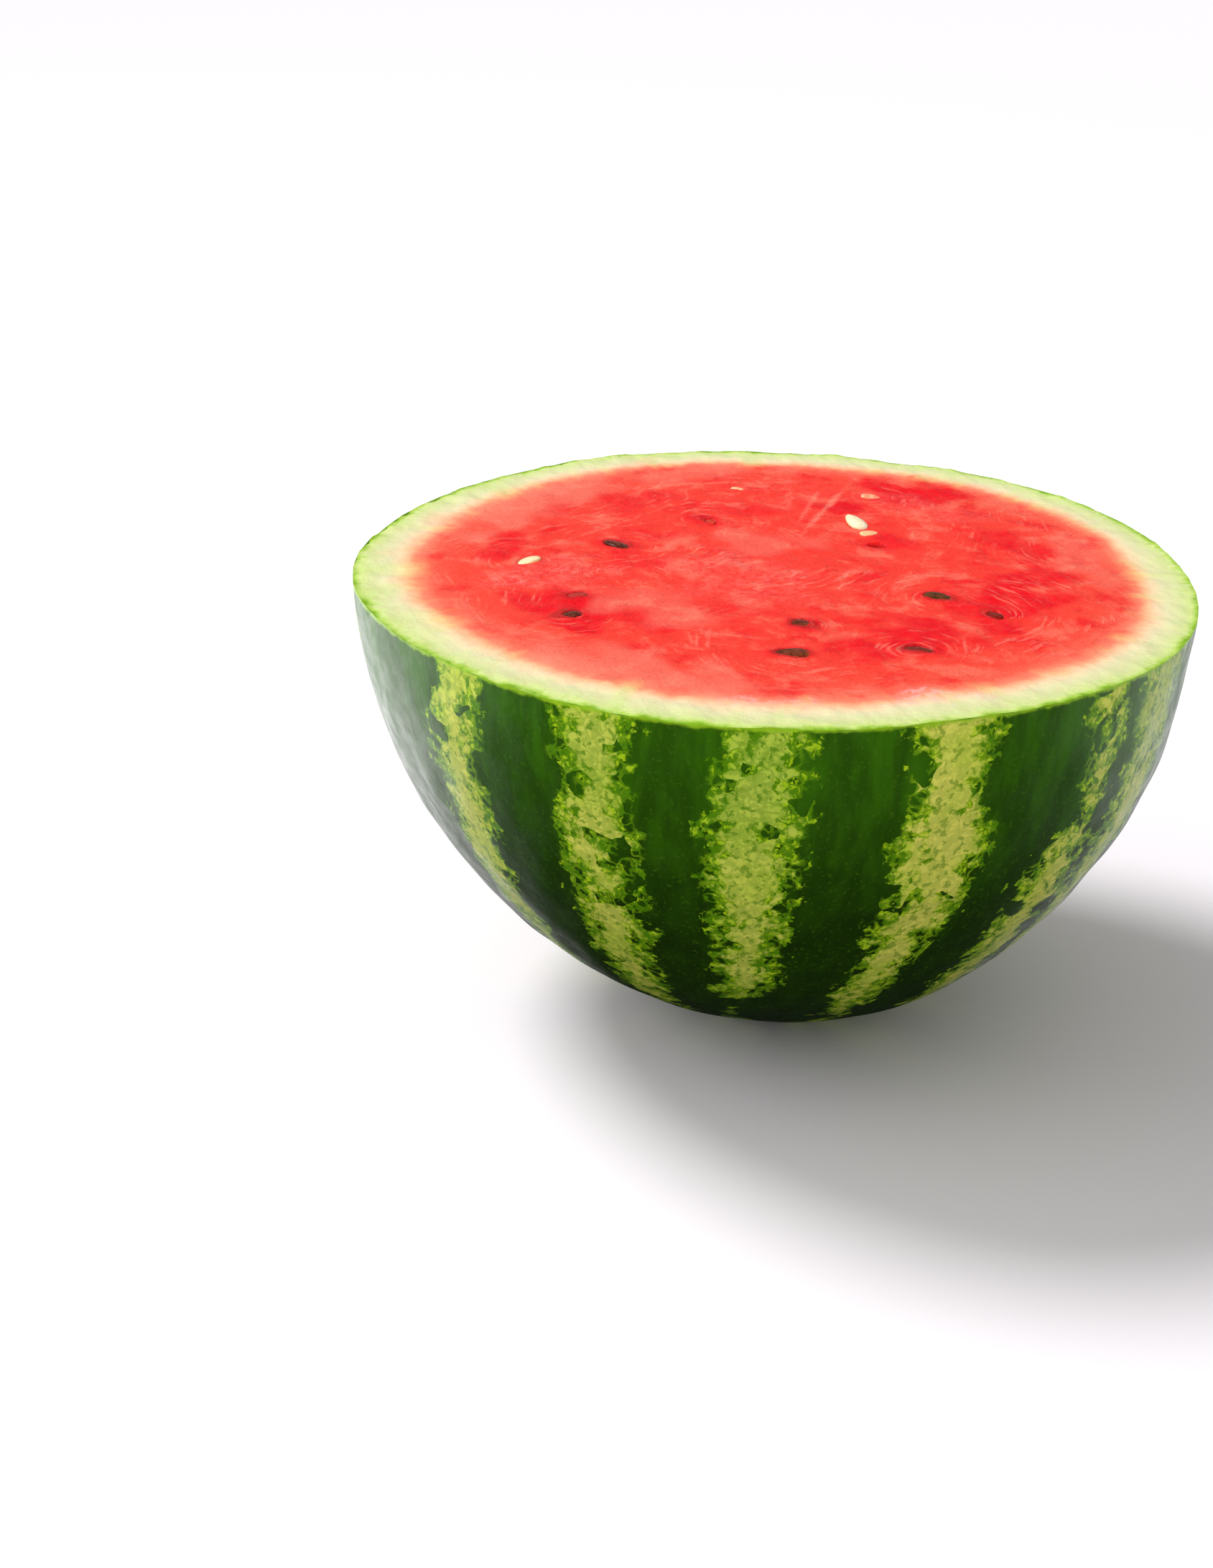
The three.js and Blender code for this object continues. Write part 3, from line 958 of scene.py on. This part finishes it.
def shade_skin(mesh, ring_angle, ring_turn, inner_count, spot):
    """What the skin's material reads: depth in a stripe, how green that one is, and the scar."""
    turns = np.concatenate([ring_turn.ravel(), np.full(len(spot), END_TURN)])
    angles = np.append(ring_angle.ravel(), np.arctan2(spot[:, 1], spot[:, 0]))
    inner_face = np.zeros(inner_count)
    for name, values in zip(("into_stripe", "stripe_green"), stripe_depth(angles, turns)):
        rim, others = values[:RIM_POINTS], values[RIM_POINTS:]
        set_values(mesh, name, np.concatenate([rim, inner_face, others]))
    end_scar = np.zeros(len(mesh.vertices))
    scar_reach = np.linalg.norm(spot[:, :2], axis=1)
    end_scar[-len(spot):] = 1 - smooth_step(scar_reach, *SCAR_COLOUR_REACH)
    set_values(mesh, "end_scar", end_scar)


def build_melon(flesh, skin):
    """Cut face, skin and resting spot as one closed mesh."""
    rng = np.random.default_rng(RANDOM_SEED)
    angles = np.linspace(0, 2 * math.pi, RIM_POINTS, endpoint=False)
    turns = END_TURN * np.linspace(0, 1, SKIN_RINGS + 1)
    ring_turn, ring_angle = np.meshgrid(turns, angles, indexing="ij")
    rings = skin_place(ring_angle, ring_turn)

    rim, wear = worn_rim(rings[0, :, :2], angles, rng)
    inside = face_grid(rng)
    face_points = np.concatenate([rim, inside])
    face_height = HALF_HEIGHT + face_relief(face_points, rng)
    face_height[:RIM_POINTS] -= wear
    top = np.column_stack([face_points, face_height])
    spot = resting_spot(rng)
    skin_points = bumpy_skin(rings, ring_turn, rng)

    flesh_faces = fill_loop(rim, inside)
    faces = flesh_faces + skin_faces(len(top)) + spot_faces(rings[-1, :, :2], spot[:, :2], len(top))
    places = np.concatenate([top, skin_points, spot])
    mesh = join_melon(places, faces, len(flesh_faces), flesh, skin)
    shade_face(mesh, face_points, rng)
    shade_skin(mesh, ring_angle, ring_turn, len(inside), spot)
    lay_flat(mesh, top, ring_turn, spot[:, :2], len(flesh_faces))
    return mesh


def seed_reach(seed, points):
    """How far each point of the face is from a seed's middle, in mm."""
    return np.linalg.norm(points - seed.middle[:2], axis=1) / MM


def lay_flat(mesh, top, ring_turn, spot, flesh_faces):
    """A UV map of two discs in opposite corners: the cut face, and the skin spread out."""
    face_disc, skin_disc, edge = 0.26, 0.31, 0.005
    face_uv = (top[:, :2] - FACE_MIDDLE[:2]) / (FACE_RADIUS * 1.02) * face_disc
    face_uv += face_disc + edge
    angles = np.linspace(0, 2 * math.pi, RIM_POINTS, endpoint=False)
    spot_share = 0.1
    reach = 1 - (1 - spot_share) * ring_turn[:, :1] / END_TURN
    around = np.stack([np.cos(angles), np.sin(angles)], 1)
    ring_uv = 1 - edge - skin_disc + skin_disc * reach[:, :, None] * around[None]
    spot_uv = 1 - edge - skin_disc + skin_disc * spot_share * spot / RESTING_RADIUS
    skin_uv = np.concatenate([ring_uv[1:].reshape(-1, 2), spot_uv])
    by_point = np.concatenate([face_uv, skin_uv])

    corners = np.zeros(len(mesh.loops), np.int32)
    mesh.loops.foreach_get("vertex_index", corners)
    uv = by_point[corners]
    on_skin = np.arange(len(corners)) >= 3 * flesh_faces
    at_rim = on_skin & (corners < RIM_POINTS)
    uv[at_rim] = ring_uv[0][corners[at_rim]]
    layer = mesh.uv_layers.new(name="OFBake")
    layer.data.foreach_set("uv", uv.astype(np.float32).ravel())


# ---------------------------------------------------------------- stage

def make_camera():
    data = bpy.data.cameras.new("camera")
    data.sensor_width = 36
    data.lens = LENS_MM
    camera = bpy.data.objects.new("camera", data)
    bpy.context.scene.collection.objects.link(camera)
    dip = Matrix.Rotation(math.pi / 2 - CAMERA_DIP, 4, "X")
    turn = dip @ Matrix.Rotation(CAMERA_ROLL, 4, "Z")
    to_face = turn @ Vector((FACE_RIGHT_OF_AXIS, FACE_ABOVE_AXIS, -FACE_ALONG_AXIS))
    camera.matrix_world = Matrix.Translation(Vector(FACE_MIDDLE) - to_face) @ turn
    bpy.context.scene.camera = camera


def make_world():
    """A pale tent, brightest high up in front. Seen directly it is plain pale grey."""
    g = Graph(bpy.data.worlds.new("tent"))
    ray = g.node("SeparateXYZ", {0: g.node("TexCoord").outputs["Generated"]}).outputs
    front = g.step(ray["Z"], 0.0, 0.5, LOW_LIGHT, FRONT_LIGHT)
    strength = g.step(ray["Y"], -0.35, 0.35, front, BACK_LIGHT)
    light = g.node("Background", {"Strength": strength}).outputs[0]
    seen = g.node("Background").outputs[0]
    from_camera = g.node("LightPath").outputs["Is Camera Ray"]
    bpy.context.scene.world = g.output(g.blend(from_camera, light, seen), "OutputWorld")


def add_sun(name, way, energy, softness):
    """A sun that shines along way. Its softness is the angle that it takes up in the sky."""
    data = bpy.data.lights.new(name, "SUN")
    data.energy = energy
    data.angle = math.radians(softness)
    sun = bpy.data.objects.new(name, data)
    sun.rotation_euler = Vector(way).to_track_quat("-Z", "Y").to_euler()
    bpy.context.scene.collection.objects.link(sun)
    return sun


def make_lights(melon_pieces):
    """A soft key high on the left, a fill on the melon alone, and a panel at the left."""
    add_sun("soft_key", *SOFT_KEY)
    fill = add_sun("front_fill", *FRONT_FILL)
    fill.visible_glossy = False
    lit = bpy.data.collections.new("lit_by_fill")
    for piece in melon_pieces:
        lit.objects.link(piece)
    fill.light_linking.receiver_collection = lit

    panel_data = bpy.data.lights.new("left_panel", "AREA")
    panel_data.shape = "RECTANGLE"
    panel_data.size, panel_data.size_y = PANEL_SIZE
    panel_data.energy = PANEL_ENERGY
    panel = bpy.data.objects.new("left_panel", panel_data)
    panel.location = PANEL_PLACE
    aim = Vector(PANEL_AIM) - Vector(PANEL_PLACE)
    panel.rotation_euler = aim.to_track_quat("-Z", "Y").to_euler()
    bpy.context.scene.collection.objects.link(panel)


def make_floor():
    size = FLOOR_REACH
    mesh = bpy.data.meshes.new("floor")
    corners = [(-size, -size, 0), (size, -size, 0), (size, size, 0), (-size, size, 0)]
    mesh.from_pydata(corners, [], [(0, 1, 2, 3)])
    mesh.materials.append(floor_finish())
    floor = bpy.data.objects.new("floor", mesh)
    bpy.context.scene.collection.objects.link(floor)


def place_piece(name, mesh, node):
    piece = bpy.data.objects.new(name, mesh)
    bpy.context.scene.collection.objects.link(piece)
    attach(piece, "root")
    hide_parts(node)
    return piece


bpy.context.scene.view_settings.view_transform = "Standard"
make_camera()
make_world()
make_floor()

melon = build_melon(cut_flesh(), striped_skin())
pieces = [place_piece("melon_body", melon, "melon_half")]
coats = {kind: seed_coat(kind + "_coat", *looks) for kind, looks in COAT_COLOURS.items()}
for seed in seeds:
    kind = seed.name.rsplit("_", 1)[0]
    coat = build_seed(seed, coats[kind])
    pieces.append(place_piece(seed.name + "_coat", coat, seed.name))

make_lights(pieces)
